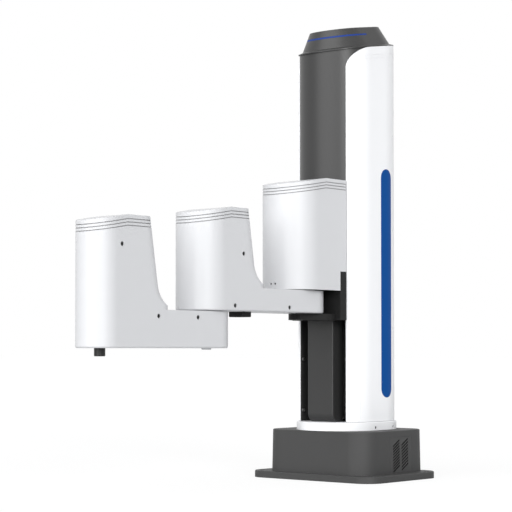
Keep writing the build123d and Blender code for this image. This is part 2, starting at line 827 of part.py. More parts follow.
def arm_bracket():
    """Black casting: back plate, lower shelf, upper platform and the two arms into the slots."""
    half = bracket_half_width
    plate = box(bracket_rear_x, bracket_front_x, -half, half, shelf_bottom_z, bracket_top_z)
    relief = box(bracket_rear_x - 1, screw_cover_front_x + 1.5, -screw_cover_half_width - 2.5,
                 screw_cover_half_width + 2.5, shelf_bottom_z - 1, bracket_top_z + 1)
    shelf_plan = link_plan(bracket_front_x, frame_inner_half_width - 6, shoulder_axis_x, pivot_boss_radius)
    shelf = prism(shelf_plan, shelf_bottom_z, shelf_bottom_z + shelf_thickness)
    shelf &= box(bracket_rear_x + 2, 200, -half, half, 0, 600)
    platform = prism(shoulder_plan(tower_wall + 0.3), shoulder_bottom_z + 0.7,
                     shoulder_bottom_z + 0.7 + platform_thickness)
    platform &= box(bracket_front_x - 1, 200, -half, half, 0, 600)
    body = plate + shelf + platform
    for side in (-1, 1):
        y0 = side * carriage_arm_inner_y
        y1 = side * carriage_arm_outer_y
        body += box(carriage_plate_front_x, bracket_rear_x + 3, min(y0, y1), max(y0, y1),
                    carriage_arm_bottom_z, carriage_arm_top_z)
    body -= relief
    body -= upright(shoulder_axis_x, 0, shoulder_bottom_z - 5, 340, shoulder_hub_radius + run_gap)
    body += upright(shoulder_axis_x, 0, shelf_bottom_z, rear_arm_bottom_z + arm_floor - 1, pivot_pin_radius)
    return without_pockets(body, nose_screw_places())


def shoulder_cover():
    top = shoulder_top_z
    outer = roofed(prism(shoulder_plan(0), shoulder_bottom_z, top + 1), top, shoulder_ridge_x, 0)
    inner = prism(shoulder_plan(tower_wall), shoulder_bottom_z - 1, top + 1)
    inner = roofed(inner, top, shoulder_ridge_x, tower_wall)
    full = prism(shoulder_plan(0), shoulder_bottom_z, top + 1)
    skin = full - prism(shoulder_plan(groove_depth), shoulder_bottom_z - 1, top + 2)
    shell = outer - roof_grooves(skin, top, shoulder_ridge_x) - inner
    shell -= box(0, bracket_front_x, -90, 90, 0, bracket_top_z)
    shell -= prism(column_plan(front_cover_radius + shoulder_column_gap), 0, 600)
    return without_pockets(shell, nose_screw_places())


def nose_screw_places():
    """Two small screws near the lower edge of the shoulder cover's round nose."""
    places = []
    for angle in nose_screw_angles:
        x = shoulder_nose_x + shoulder_half_width * math.cos(math.radians(angle))
        y = shoulder_half_width * math.sin(math.radians(angle))
        places.append((x, y, shoulder_bottom_z + nose_screw_rise, angle, nose_screw_radius))
    return places


# Arm towers

def roof_prism(top, ridge_x, drop):
    """Everything under a roof that is level behind the ridge and falls away in front of it."""
    fall = math.tan(math.radians(tower_roof_slope))
    reach = 90.0
    return side_prism(
        [(ridge_x - 150, top - 400), (ridge_x - 150, top - drop), (ridge_x, top - drop),
         (ridge_x + reach, top - drop - reach * fall), (ridge_x + reach, top - 400)], 90
    )


def roofed(solid, top, ridge_x, drop):
    return solid & roof_prism(top, ridge_x, drop)


def roof_grooves(skin, top, ridge_x):
    grooves = []
    for index in range(groove_count):
        drop = groove_first + index * groove_pitch
        band = roof_prism(top, ridge_x, drop - groove_width / 2)
        band -= roof_prism(top, ridge_x, drop + groove_width / 2)
        grooves.append(band & skin)
    return grooves


def tower_section(rear_x, ends, inset, z):
    """Plan of a tower at height z: link sides, round nose and a flat back with round corners."""
    link_rear_x, link_rear_radius, nose_x, nose_radius, back_corner = ends
    rear_radius = link_rear_radius - inset
    nose = nose_radius - inset
    lean = math.acos((rear_radius - nose) / (nose_x - link_rear_x))
    nose_point = (nose_x + nose * math.cos(lean), nose * math.sin(lean))
    rise = -math.cos(lean) / math.sin(lean)
    back_x = rear_x + inset
    back_y = nose_point[1] + (back_x - nose_point[0]) * rise
    edges = [
        Line((back_x, -back_y), (nose_point[0], -nose_point[1])),
        ThreePointArc((nose_point[0], -nose_point[1]), (nose_x + nose, 0), nose_point),
        Line(nose_point, (back_x, back_y)),
        Line((back_x, back_y), (back_x, -back_y)),
    ]
    face = make_face(edges)
    face = fillet(face.vertices().sort_by(Axis.X)[:2], back_corner - inset)
    return Pos(0, 0, z) * face


def foot_curve(back_x, top, foot_x, lip_z):
    """Round foot of a tower's back: its points from the lip up to where the lean begins."""
    lean = math.radians(tower_back_lean)
    along = (math.sin(lean), math.cos(lean))
    out = (-math.cos(lean), math.sin(lean))
    start = (back_x + tower_foot_radius * out[0] - foot_x, top + tower_foot_radius * out[1] - lip_z)
    half = start[0] * along[0] + start[1] * along[1]
    rest = start[0] ** 2 + start[1] ** 2 - tower_foot_radius ** 2
    step = -half + math.sqrt(half ** 2 - rest)
    centre = (foot_x + start[0] + step * along[0], lip_z + start[1] + step * along[1])
    first = math.atan2(lip_z - centre[1], foot_x - centre[0])
    last = math.atan2(-out[1], -out[0])
    points = []
    for index in range(6):
        angle = first + (last - first) * index / 5
        points.append((centre[0] + tower_foot_radius * math.cos(angle),
                       centre[1] + tower_foot_radius * math.sin(angle)))
    return points


def tower(ends, back_x, foot_x, deck, top, inset):
    """Whole tower before its roof is cut, inset from its outer skin."""
    lean = math.tan(math.radians(tower_back_lean))
    curve = foot_curve(back_x, top, foot_x, deck + tower_lip)
    lip = loft([tower_section(foot_x, ends, inset, deck), tower_section(foot_x, ends, inset, deck + tower_lip)],
               ruled=True)
    foot = loft([tower_section(x, ends, inset, z) for x, z in curve])
    high = top + 2
    last_x, last_z = curve[-1]
    upper = loft([tower_section(last_x, ends, inset, last_z),
                  tower_section(last_x + (high - last_z) * lean, ends, inset, high)], ruled=True)
    return lip + foot + upper


def tower_cover(ends, back_x, foot_x, deck, top, ridge_x):
    full = tower(ends, back_x, foot_x, deck, top, 0)
    outer = roofed(full, top, ridge_x, 0)
    skin = full - tower(ends, back_x, foot_x, deck, top, groove_depth)
    inner = roofed(tower(ends, back_x, foot_x, deck, top, tower_wall), top, ridge_x, tower_wall)
    return outer - roof_grooves(skin, top, ridge_x) - inner


def arm_casting(ends, bottom, deck, open_from_x):
    """Long low housing: floor, side walls, and a deck that is open under the tower."""
    rear_x, rear_radius, nose_x, nose_radius = ends
    body = prism(link_plan(*ends), bottom, deck)
    body = fillet(body.faces().sort_by(Axis.Z)[0].edges(), arm_edge_radius)
    inner = link_plan(rear_x, rear_radius - arm_wall, nose_x, nose_radius - arm_wall)
    body -= prism(inner, bottom + arm_floor, deck - arm_wall)
    body -= prism(inner, deck - arm_wall - 1, deck + 1) & box(open_from_x, 700, -90, 90, 0, 700)
    return body


def side_screw_places(half_width_at, places):
    result = []
    for x, z in places:
        for side in (-1, 1):
            result.append((x, side * half_width_at(x), z, side * 90.0, arm_screw_radius))
    return result


rear_arm_ends = (shoulder_axis_x, rear_arm_rear_radius, elbow_axis_x + rear_arm_nose_shift, rear_arm_nose_radius)
forearm_ends = (elbow_axis_x, forearm_rear_radius, wrist_axis_x, forearm_nose_radius)
rear_arm_screw_places = ((270.1, 321.2), (287.9, 250.1), (170.3, 249.7))
forearm_screw_places = ((495.6, 324.0), (428.7, 233.7), (353.3, 233.2))


def link_half_width(ends):
    rear_x, rear_radius, nose_x, nose_radius = ends
    return lambda x: rear_radius + (nose_radius - rear_radius) * (x - rear_x) / (nose_x - rear_x)


def rear_arm_screws():
    return side_screw_places(link_half_width(rear_arm_ends), rear_arm_screw_places)


def forearm_screws():
    return side_screw_places(link_half_width(forearm_ends), forearm_screw_places)


def without_pockets(body, places):
    for place in places:
        body -= screw_pocket(*place)
    return body


def rear_arm_frame():
    body = arm_casting(rear_arm_ends, rear_arm_bottom_z, rear_arm_deck_z, rear_arm_foot_x + arm_wall)
    body += upright(shoulder_axis_x, 0, rear_arm_bottom_z + 1, rear_arm_deck_z, shoulder_hub_radius + 4)
    body += upright(elbow_axis_x, 0, rear_arm_bottom_z + 1, rear_arm_bottom_z + arm_floor + 6,
                    elbow_hub_radius + 8)
    body -= upright(shoulder_axis_x, 0, 0, rear_arm_bottom_z + arm_floor, pivot_pin_radius + 4)
    body -= upright(elbow_axis_x, 0, 0, 300, elbow_hub_radius + run_gap)
    return without_pockets(body, rear_arm_screws())


def pivot_bearing():
    bearing = upright(shoulder_axis_x, 0, rear_arm_bottom_z + 0.2, rear_arm_bottom_z + arm_floor,
                      pivot_pin_radius + 4)
    return bearing - upright(shoulder_axis_x, 0, 0, 300, pivot_pin_radius + run_gap)


def shoulder_hub():
    top = shoulder_bottom_z + 0.7 + platform_thickness
    hub = upright(shoulder_axis_x, 0, rear_arm_deck_z, top, shoulder_hub_radius)
    return hub


def elbow_hub():
    return upright(elbow_axis_x, 0, forearm_deck_z, rear_arm_bottom_z + arm_floor + 6, elbow_hub_radius)


def gear_drum(x, z0, radius, height):
    drum = upright(x, 0, z0, z0 + height, radius)
    drum += upright(x, 0, z0 + height - 8, z0 + height, radius + 3)
    return chamfer(drum.faces().sort_by(Axis.Z)[-1].edges(), 1.0)


shoulder_drum_height = 30.0
elbow_drum_height = 30.0


def shoulder_drum():
    return gear_drum(shoulder_axis_x, shoulder_bottom_z + 0.7 + platform_thickness + small_gap,
                     shoulder_hub_radius + 8, shoulder_drum_height)


def shoulder_motor():
    z0 = shoulder_bottom_z + 0.7 + platform_thickness + small_gap + shoulder_drum_height
    return stepped_motor(shoulder_axis_x, joint_motor_size, z0, 86, 8.0)


def elbow_drum():
    return gear_drum(elbow_axis_x, rear_arm_bottom_z + arm_floor + 6 + small_gap,
                     elbow_hub_radius + 8, elbow_drum_height)


def elbow_motor():
    z0 = rear_arm_bottom_z + arm_floor + 6 + small_gap + elbow_drum_height
    return stepped_motor(elbow_axis_x, 48.0, z0, 76, 8.0)


def stop_block():
    block = box(stop_block_rear_x, stop_block_front_x, -stop_block_half_width, stop_block_half_width,
                rear_arm_bottom_z - stop_block_height, rear_arm_bottom_z)
    return chamfer(block.faces().sort_by(Axis.Z)[0].edges(), 0.8)


def rear_arm_cover():
    cover = tower_cover(rear_arm_ends + (rear_arm_back_corner,), rear_arm_back_x, rear_arm_foot_x, rear_arm_deck_z, rear_arm_top_z,
                        rear_arm_ridge_x)
    return without_pockets(cover, rear_arm_screws())


def forearm_frame():
    body = arm_casting(forearm_ends, forearm_bottom_z, forearm_deck_z, forearm_foot_x + arm_wall)
    body += upright(elbow_axis_x, 0, forearm_bottom_z + 1, forearm_deck_z, elbow_hub_radius + 4)
    body += upright(wrist_axis_x, 0, forearm_bottom_z + 1, forearm_bottom_z + arm_floor + 6,
                    wrist_bearing_radius + 3.5)
    body -= upright(wrist_axis_x, 0, 0, forearm_bottom_z + 2, wrist_journal_radius + 0.8)
    body -= upright(wrist_axis_x, 0, forearm_bottom_z + 2, 300, wrist_bearing_radius)
    return without_pockets(body, forearm_screws())


def forearm_cover():
    cover = tower_cover(forearm_ends + (forearm_back_corner,), forearm_back_x, forearm_foot_x, forearm_deck_z, forearm_top_z,
                        forearm_ridge_x)
    return without_pockets(cover, forearm_screws())


def wrist_bearing():
    z0 = forearm_bottom_z + 2
    bearing = upright(wrist_axis_x, 0, z0, z0 + wrist_bearing_height, wrist_bearing_radius)
    return bearing - upright(wrist_axis_x, 0, z0 - 1, z0 + 40, wrist_journal_radius + run_gap)


wrist_motor_z = 262.0


def wrist_mount():
    """Plate on four posts that carries the wrist motor over the shaft."""
    z1 = wrist_motor_z
    half = wrist_motor_size / 2
    plate = box(wrist_axis_x - half, wrist_axis_x + half - 4, -half, half, z1 - 5, z1)
    plate = fillet(plate.edges().filter_by(Axis.Z), 5.0)
    plate -= upright(wrist_axis_x, 0, z1 - 6, z1 + 1, wrist_journal_radius + 3)
    for x in (wrist_axis_x - half + 5, wrist_axis_x + half - 9):
        for y in (-half + 5, half - 5):
            plate += upright(x, y, forearm_bottom_z + arm_floor, z1 - 5, 3.0)
    return plate


def wrist_motor():
    return stepped_motor(wrist_axis_x, wrist_motor_size, wrist_motor_z, 62, 9.0)


def wrist_shaft():
    top = wrist_motor_z - 1
    shaft = upright(wrist_axis_x, 0, wrist_shaft_bottom_z, top, wrist_shaft_radius)
    shaft = chamfer(shaft.faces().sort_by(Axis.Z)[0].edges(), 0.8)
    shaft += upright(wrist_axis_x, 0, forearm_bottom_z, top, wrist_journal_radius)
    collar_z = forearm_bottom_z + 2 + wrist_bearing_height + 0.2
    shaft += upright(wrist_axis_x, 0, collar_z, collar_z + 6, wrist_journal_radius + 4)
    return shaft


def elbow_cap():
    cap = upright(elbow_axis_x, 0, forearm_bottom_z - elbow_cap_height, forearm_bottom_z, elbow_cap_radius)
    return chamfer(cap.faces().sort_by(Axis.Z)[0].edges(), 0.8)


def screw_group(places):
    return Part() + [screw_in_pocket(*place) for place in places]


os.makedirs("parts", exist_ok=True)
save("base_plate", base_plate())
save("base_housing", base_housing())
save("vent_panels", vent_panels())
save("rear_panel", rear_panel())
save("power_inlet", power_inlet())
save("button_bezel", button_bezel())
save("power_button", power_button())
save("network_jacks", network_jacks())
save("stop_socket", stop_socket())
save("power_supply", power_supply())
save("foot_ring", foot_ring())
for side_name, side_cover in side_covers().items():
    save(f"side_cover_{side_name}", side_cover)
save("rear_cover", rear_cover())
save("side_stripes", stripes())
save("front_cover", front_cover())
save("screw_cover", screw_cover())
save("top_cap", top_cap())
save("status_light", status_light())
save("column_frame", column_frame())
save("linear_rails", linear_rails())
save("lower_screw_bearing", bearing_block(lower_bearing_z))
save("upper_screw_bearing", bearing_block(upper_bearing_z))
save("motor_plate", motor_plate())
save("lift_motor", lift_motor())
save("lift_screw", lift_screw())
save("shaft_coupling", shaft_coupling())
save("control_board", control_board())
save("recess_screws", recess_screws())
save("cover_screws", cover_screws())
save("guide_blocks", guide_blocks())
save("carriage_plate", carriage_plate())
save("ball_nut", ball_nut())
save("arm_bracket", arm_bracket())
save("shoulder_cover", shoulder_cover())
save("shoulder_screws", screw_group(nose_screw_places()))
save("shoulder_drum", shoulder_drum())
save("shoulder_motor", shoulder_motor())
save("rear_arm_frame", rear_arm_frame())
save("rear_arm_cover", rear_arm_cover())
save("pivot_bearing", pivot_bearing())
save("shoulder_hub", shoulder_hub())
save("elbow_drum", elbow_drum())
save("elbow_motor", elbow_motor())
save("stop_block", stop_block())
save("rear_arm_screws", screw_group(rear_arm_screws()))
save("forearm_frame", forearm_frame())
save("forearm_cover", forearm_cover())
save("elbow_hub", elbow_hub())
save("elbow_cap", elbow_cap())
save("wrist_bearing", wrist_bearing())
save("wrist_mount", wrist_mount())
save("wrist_motor", wrist_motor())
save("forearm_screws", screw_group(forearm_screws()))
save("wrist_shaft", wrist_shaft())
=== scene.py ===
# %% [markdown]
# # A column robot arm, dressed for its portrait
#
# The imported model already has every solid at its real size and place. This lesson gives those
# solids their finishes, swaps the plain screw heads for detailed ones, and lights the whole
# thing as a product photographer would. Lengths are metres, as everywhere in Blender.

# %% Load the frame and keep its size
import json
import math

import bmesh
import bpy
import numpy as np
from mathutils import Matrix, Vector


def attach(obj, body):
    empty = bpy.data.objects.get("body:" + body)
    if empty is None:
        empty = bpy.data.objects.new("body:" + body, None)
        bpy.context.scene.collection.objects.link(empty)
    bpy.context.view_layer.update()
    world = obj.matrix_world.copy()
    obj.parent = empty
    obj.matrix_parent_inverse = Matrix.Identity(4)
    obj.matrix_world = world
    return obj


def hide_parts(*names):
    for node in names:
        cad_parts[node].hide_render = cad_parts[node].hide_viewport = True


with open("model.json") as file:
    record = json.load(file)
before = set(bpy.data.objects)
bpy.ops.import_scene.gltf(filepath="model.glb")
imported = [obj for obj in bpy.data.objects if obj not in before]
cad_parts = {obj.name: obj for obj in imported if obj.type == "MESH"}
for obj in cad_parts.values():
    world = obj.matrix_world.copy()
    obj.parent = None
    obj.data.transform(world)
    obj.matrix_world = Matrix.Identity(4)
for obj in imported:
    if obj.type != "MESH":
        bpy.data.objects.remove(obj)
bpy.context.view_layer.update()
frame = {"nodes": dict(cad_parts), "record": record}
nodes = frame["nodes"]
millimetre = 0.001
print("nodes in the frame:", len(nodes))

# %% [markdown]
# ## Shader maths as plain Python
#
# A material is a graph of nodes, and sums and products in it are nodes too. Wiring them by hand
# hides the formula, so a small class wraps a socket and turns +, -, * and / into Math nodes.
# Any other node comes from one method that takes its type, its settings and its inputs.


# %% A socket that can be used in a sum
class Wire:
    def __init__(self, tree, socket):
        self.tree = tree
        self.socket = socket

    def _maths(self, operation, first, second):
        node = self.tree.nodes.new("ShaderNodeMath")
        node.operation = operation
        for place, value in zip(node.inputs, (first, second)):
            feed(self.tree, place, value)
        return Wire(self.tree, node.outputs[0])

    def __add__(self, other):
        return self._maths("ADD", self, other)

    def __mul__(self, other):
        return self._maths("MULTIPLY", self, other)

    def __sub__(self, other):
        return self._maths("SUBTRACT", self, other)

    def __rsub__(self, other):
        return self._maths("SUBTRACT", other, self)

    def __truediv__(self, other):
        return self._maths("DIVIDE", self, other)

    def at_least(self, floor):
        return self._maths("MAXIMUM", self, floor)

    def at_most(self, ceiling):
        return self._maths("MINIMUM", self, ceiling)

    def below(self, limit):
        return self._maths("LESS_THAN", self, limit)

    def rounded(self):
        return self._maths("ROUND", self, 0.0)

    def size(self):
        return self._maths("ABSOLUTE", self, 0.0)

    __radd__ = __add__
    __rmul__ = __mul__


def feed(tree, socket, value):
    """Links a wire to the socket, or sets a plain value on it."""
    if isinstance(value, Wire):
        tree.links.new(value.socket, socket)
    else:
        socket.default_value = value


class Finish:
    """One material, new or already made, with its surface shader ready to be fed."""

    def __init__(self, name, material=None):
        self.material = material or bpy.data.materials.new(name)
        self.material.use_nodes = True
        self.tree = self.material.node_tree
        self.surface = self.tree.nodes["Principled BSDF"]

    def node(self, kind, settings=None, inputs=None, output=0):
        made = self.tree.nodes.new(kind)
        for key, value in (settings or {}).items():
            setattr(made, key, value)
        for key, value in (inputs or {}).items():
            feed(self.tree, made.inputs[key], value)
        return Wire(self.tree, made.outputs[output])

    def set(self, **values):
        for key, value in values.items():
            feed(self.tree, self.surface.inputs[key.replace("_", " ")], value)
        return self


def grey(level):
    return (level, level, level, 1.0)


# %% [markdown]
# ## Finishes
#
# Two families cover the robot. Paint, powder coat and moulded plastic differ only in colour,
# gloss and grain, so one function makes them all. Bare steel is metallic and a little uneven.
# Two more functions start from a paint and darken one part of it with painted shade. Painted
# shade in the lines round a tower's top keeps them crisp under flat light, and black painted shade
# on the punched edges makes the vent slits read as holes. Both find their place by Object
# coordinates, so the painted shade stays put on the piece.


# %% Finish families
peel = 6.0 * millimetre
powder = 0.9 * millimetre
# Lines round a tower's top, in millimetres: depth of the first, pitch, number and width
line_first, line_pitch, line_count, line_width = 5.6, 4.2, 3, 1.3
roof_slope = math.radians(10.0)
# Base housing's side: half width at its foot, the foot's height, lean and depth of the skin
side_half_width, side_foot_z, side_lean, skin_depth = 94.2, 10.0, 1.3 / 62.0, 0.2


def object_place(finish):
    return finish.node("ShaderNodeTexCoord", output="Object")


def along(finish, axis):
    """One Object coordinate, in millimetres."""
    place = object_place(finish)
    return finish.node("ShaderNodeSeparateXYZ", inputs={"Vector": place}, output=axis) / millimetre


def two_tone(finish, mask, colour, marked):
    """Base colour that is the marked one where the mask is 1."""
    tint = finish.node(
        "ShaderNodeMix",
        settings={"data_type": "RGBA"},
        inputs={0: mask, 6: colour, 7: marked},
        output=2,
    )
    finish.set(Base_Color=tint)


def painted(name, colour, roughness, grain_size, grain_height, coat=0.0, mottle=0.0, shine=0.5):
    """Paint or moulded plastic: even colour, a fine grain in the gloss and in the normal."""
    finish = Finish(name)
    place = object_place(finish)
    grain = finish.node(
        "ShaderNodeTexNoise",
        inputs={"Vector": place, "Scale": 1.0 / grain_size, "Detail": 3.0, "Roughness": 0.6},
    )
    bump = finish.node(
        "ShaderNodeBump",
        inputs={"Strength": 0.35, "Distance": grain_height, "Height": grain},
    )
    finish.set(Roughness=grain * 0.12 + (roughness - 0.06), Normal=bump)
    finish.set(Coat_Weight=coat, Specular_IOR_Level=shine)
    if mottle:
        cloud = finish.node(
            "ShaderNodeTexNoise", inputs={"Vector": place, "Scale": 14.0, "Detail": 2.0}
        )
        darker = tuple(channel * (1.0 - mottle) for channel in colour[:3]) + (1.0,)
        two_tone(finish, cloud, darker, colour)
    else:
        finish.set(Base_Color=colour)
    return finish.material


def groove_shade_paint(name, colour, groove_shade_colour, top, ridge_x):
    """Housing paint with painted shade down in the three lines that run round a tower's top.

    The lines keep level behind the ridge and fall with the roof in front of it, so the depth
    under the roof says where they are. All lengths are millimetres.
    """
    finish = Finish(name, painted(name, colour, 0.42, peel, 0.00002, coat=0.1))
    past_ridge = (along(finish, "X") - ridge_x).at_least(0.0)
    depth = top - along(finish, "Z") - past_ridge * math.tan(roof_slope)
    phase = (depth - line_first) / line_pitch
    nearest = phase.rounded().at_least(0.0).at_most(line_count - 1.0)
    off = (phase - nearest).size() * line_pitch
    # The grey in the three lines is painted shade, standing in for the shade down in the grooves
    two_tone(finish, off.below(line_width / 2), colour, groove_shade_colour)
    return finish.material


def slit_shade_paint(name, colour, slit_shade_colour):
    """Powder coat with black painted shade on the punched edges and inner face behind the outer
    skin.

    The housing's sides lean in towards the top, so the skin's place depends on the height.
    """
    finish = Finish(name, painted(name, colour, 0.55, powder, 0.00010, shine=0.25))
    skin = side_half_width - (along(finish, "Z") - side_foot_z) * side_lean
    # Everything behind the outer skin gets black painted shade
    behind = along(finish, "Y").size().below(skin - skin_depth)
    two_tone(finish, behind, colour, slit_shade_colour)
    return finish.material


def bare_metal(name, colour, roughness):
    """Ground or turned metal with fine streaks along its height."""
    finish = Finish(name)
    streaks = finish.node(
        "ShaderNodeMapping", inputs={"Vector": object_place(finish), "Scale": (900.0, 900.0, 12.0)}
    )
    grain = finish.node(
        "ShaderNodeTexNoise", inputs={"Vector": streaks, "Scale": 1.0, "Detail": 2.0}
    )
    finish.set(Base_Color=colour, Metallic=1.0, Roughness=grain * 0.2 + (roughness - 0.1))
    return finish.material


def glowing(name, colour, strength):
    """A diffusing strip lit from behind."""
    finish = Finish(name)
    finish.set(Base_Color=colour, Roughness=0.5, Emission_Color=colour, Specular_IOR_Level=0.1)
    finish.set(Emission_Strength=strength)
    return finish.material


# %% [markdown]
# ## One finish for each slot
#
# The record names a material slot for every solid. A table from slot to finish keeps all the
# colours in one place. The stripe is a saturated blue, the covers are two whites: the arm
# housings get a darker white than the column's skins. The tower housings and the vent panels get
# paints of their own, which carry painted shade in the tower lines and the slits.

# %% Make the finishes and dress the solids
cover_white = (0.80, 0.805, 0.82, 1.0)
arm_white = (0.57, 0.575, 0.59, 1.0)
stripe_blue = (0.001, 0.060, 0.25, 1.0)

finishes = {
    "cover_white": painted("cover_white", cover_white, 0.42, peel, 0.00002, coat=0.1),
    "arm_white": painted("arm_white", arm_white, 0.42, peel, 0.00002, coat=0.1),
    "stripe_blue": painted("stripe_blue", stripe_blue, 0.38, peel, 0.00001, shine=0.06),
    "base_paint": painted(
        "base_paint", grey(0.050), 0.55, powder, 0.00012, mottle=0.10, shine=0.25
    ),
    "base_panel": painted("base_panel", grey(0.046), 0.55, powder, 0.00010, shine=0.25),
    "cover_dark": painted("cover_dark", grey(0.026), 0.38, powder, 0.00006, shine=0.4),
    "frame_metal": painted("frame_metal", grey(0.035), 0.5, powder, 0.00005, shine=0.2),
    "bracket_black": painted("bracket_black", grey(0.012), 0.45, powder, 0.00006, shine=0.15),
    "socket_black": painted("socket_black", grey(0.010), 0.5, powder, 0.00003, shine=0.1),
    "button_steel": painted("button_steel", grey(0.30), 0.35, peel, 0.00001),
    "supply_case": bare_metal("supply_case", grey(0.60), 0.45),
    "board_green": painted("board_green", (0.01, 0.13, 0.05, 1.0), 0.4, peel, 0.00001),
    "bare_steel": bare_metal("bare_steel", grey(0.58), 0.32),
    "screw_black": bare_metal("screw_black", grey(0.08), 0.38),
    "shaft_black": painted("shaft_black", grey(0.012), 0.32, peel, 0.00001, coat=0.1, shine=0.3),
    "lift_motor_case": painted("lift_motor_case", grey(0.02), 0.45, powder, 0.00004),
    "drive_case": painted("drive_case", grey(0.035), 0.45, powder, 0.00004),
    "light_strip": glowing("light_strip", (0.015, 0.04, 0.19, 1.0), 0.15),
}
# The screws in the recess are lighter than the rest, though their slot is the same.
finishes["screw_ring"] = bare_metal("screw_ring", grey(0.30), 0.40)
slot_of = {piece["node"]: piece["material_slot"] for piece in frame["record"]["subparts"]}
# Grey of the painted shade in the lines round the towers' tops
groove_shade_grey = (0.30, 0.30, 0.31, 1.0)
# Height of each tower's level roof, and where its ridge lies along X, in millimetres
tower_roofs = {
    "shoulder_cover": (437.4, 98.8),
    "rear_arm_cover": (383.6, 296.2),
    "forearm_cover": (361.9, 485.7),
}
own_paint = {
    name: groove_shade_paint(name + "_paint", arm_white, groove_shade_grey, top, ridge_x)
    for name, (top, ridge_x) in tower_roofs.items()
}

# The vent panels get black painted shade in their slits
own_paint["vent_panels"] = slit_shade_paint("vent_slit_shade_paint", grey(0.050), grey(0.002))

for name, thing in nodes.items():
    thing.data.materials.clear()
    thing.data.materials.append(own_paint.get(name, finishes[slot_of[name]]))
print("slots dressed:", len(set(slot_of.values())))

# %% [markdown]
# ## Screw heads from one tree
#
# The arm housings, the column covers and the recess are held by hexagon-socket screws. In the
# solids these are plain discs. All the heads follow one rule, so Geometry Nodes build a single
# head, cut its socket with a boolean, and set a copy on every point that a disc gives. The tree
# has its sizes as inputs, and each body gets its own finished mesh.


# %% Where the screws are
def screw_discs(node_name):
    """Centre, axis and corner points of every loose disc in a node of the frame."""
    work = bmesh.new()
    work.from_mesh(nodes[node_name].data)
    bmesh.ops.remove_doubles(work, verts=work.verts, dist=1e-6)
    left = set(work.verts)
    discs = []
    while left:
        island, waiting = set(), [left.pop()]
        while waiting:
            vertex = waiting.pop()
            if vertex in island:
                continue
            island.add(vertex)
            waiting += [edge.other_vert(vertex) for edge in vertex.link_edges]
        left -= island
        points = np.array([vertex.co[:] for vertex in island])
        middle = (points.min(axis=0) + points.max(axis=0)) / 2
        faces = {face for vertex in island for face in vertex.link_faces}
        flat = max(faces, key=lambda face: face.calc_area())
        axis = np.array(flat.normal[:])
        discs.append((middle, axis, points))
    work.free()
    return discs


def outward(middle, axis, towards_middle, hub_x):
    """The disc's axis, turned to point out of its housing, or into the recess."""
    hub = np.array([middle[0] if hub_x is None else hub_x, 0.0, middle[2]])
    facing = float(np.dot(axis, middle - hub)) > 0
    return -axis if facing == towards_middle else axis


# %% The tree that builds a screw head
head_corners = 28
socket_corners = 6
# The hexagon is as tall as the head and is raised by this share of it before it cuts.
socket_lift = 0.45
socket_share = 0.58


def screw_tree():
    tree = bpy.data.node_groups.new("socket_screws", "GeometryNodeTree")
    face = tree.interface
    face.new_socket("Points", in_out="INPUT", socket_type="NodeSocketGeometry")
    for label, value in (("Radius", 0.0022), ("Height", 0.002), ("Socket", 0.0012)):
        made = face.new_socket(label, in_out="INPUT", socket_type="NodeSocketFloat")
        made.default_value = value
    face.new_socket("Finish", in_out="INPUT", socket_type="NodeSocketMaterial")
    face.new_socket("Screws", in_out="OUTPUT", socket_type="NodeSocketGeometry")

    def add(kind, **settings):
        node = tree.nodes.new(kind)
        for key, value in settings.items():
            setattr(node, key, value)
        return node

    given = add("NodeGroupInput").outputs
    result = add("NodeGroupOutput")
    link = tree.links.new

    head = add("GeometryNodeMeshCylinder")
    head.inputs["Vertices"].default_value = head_corners
    link(given["Radius"], head.inputs["Radius"])
    link(given["Height"], head.inputs["Depth"])

    hexagon = add("GeometryNodeMeshCylinder")
    hexagon.inputs["Vertices"].default_value = socket_corners
    link(given["Socket"], hexagon.inputs["Radius"])
    link(given["Height"], hexagon.inputs["Depth"])
    lift = add("ShaderNodeMath", operation="MULTIPLY")
    link(given["Height"], lift.inputs[0])
    lift.inputs[1].default_value = socket_lift
    lift_vector = add("ShaderNodeCombineXYZ")
    link(lift.outputs[0], lift_vector.inputs["Z"])
    raised = add("GeometryNodeTransform")
    link(hexagon.outputs["Mesh"], raised.inputs["Geometry"])
    link(lift_vector.outputs[0], raised.inputs["Translation"])

    cut = add("GeometryNodeMeshBoolean", operation="DIFFERENCE")
    link(head.outputs["Mesh"], cut.inputs[0])
    link(raised.outputs["Geometry"], cut.inputs[1])

    axis = add("GeometryNodeInputNamedAttribute", data_type="FLOAT_VECTOR")
    axis.inputs["Name"].default_value = "axis"
    turn = add("FunctionNodeAlignRotationToVector", axis="Z")
    link(axis.outputs["Attribute"], turn.inputs["Vector"])
    copies = add("GeometryNodeInstanceOnPoints")
    link(given["Points"], copies.inputs["Points"])
    link(cut.outputs["Mesh"], copies.inputs["Instance"])
    link(turn.outputs["Rotation"], copies.inputs["Rotation"])
    solid = add("GeometryNodeRealizeInstances")
    link(copies.outputs["Instances"], solid.inputs["Geometry"])
    dressed = add("GeometryNodeSetMaterial")
    link(solid.outputs["Geometry"], dressed.inputs["Geometry"])
    link(given["Finish"], dressed.inputs["Material"])
    link(dressed.outputs["Geometry"], result.inputs["Screws"])
    return tree


head_tree = screw_tree()
print("screw tree nodes:", len(head_tree.nodes))


# %% Set the heads on their points
def set_input(modifier, label, value):
    """A tree's input is set by its identifier, because names may repeat."""
    for item in modifier.node_group.interface.items_tree:
        if item.item_type == "SOCKET" and item.in_out == "INPUT" and item.name == label:
            modifier[item.identifier] = value


def plain_mesh(thing, name):
    """The evaluated result as a mesh of its own, with the modifier gone."""
    bpy.context.view_layer.update()
    seen = thing.evaluated_get(bpy.context.evaluated_depsgraph_get())
    mesh = bpy.data.meshes.new_from_object(seen)
    mesh.name = name
    thing.modifiers.clear()
    thing.data = mesh
    return thing


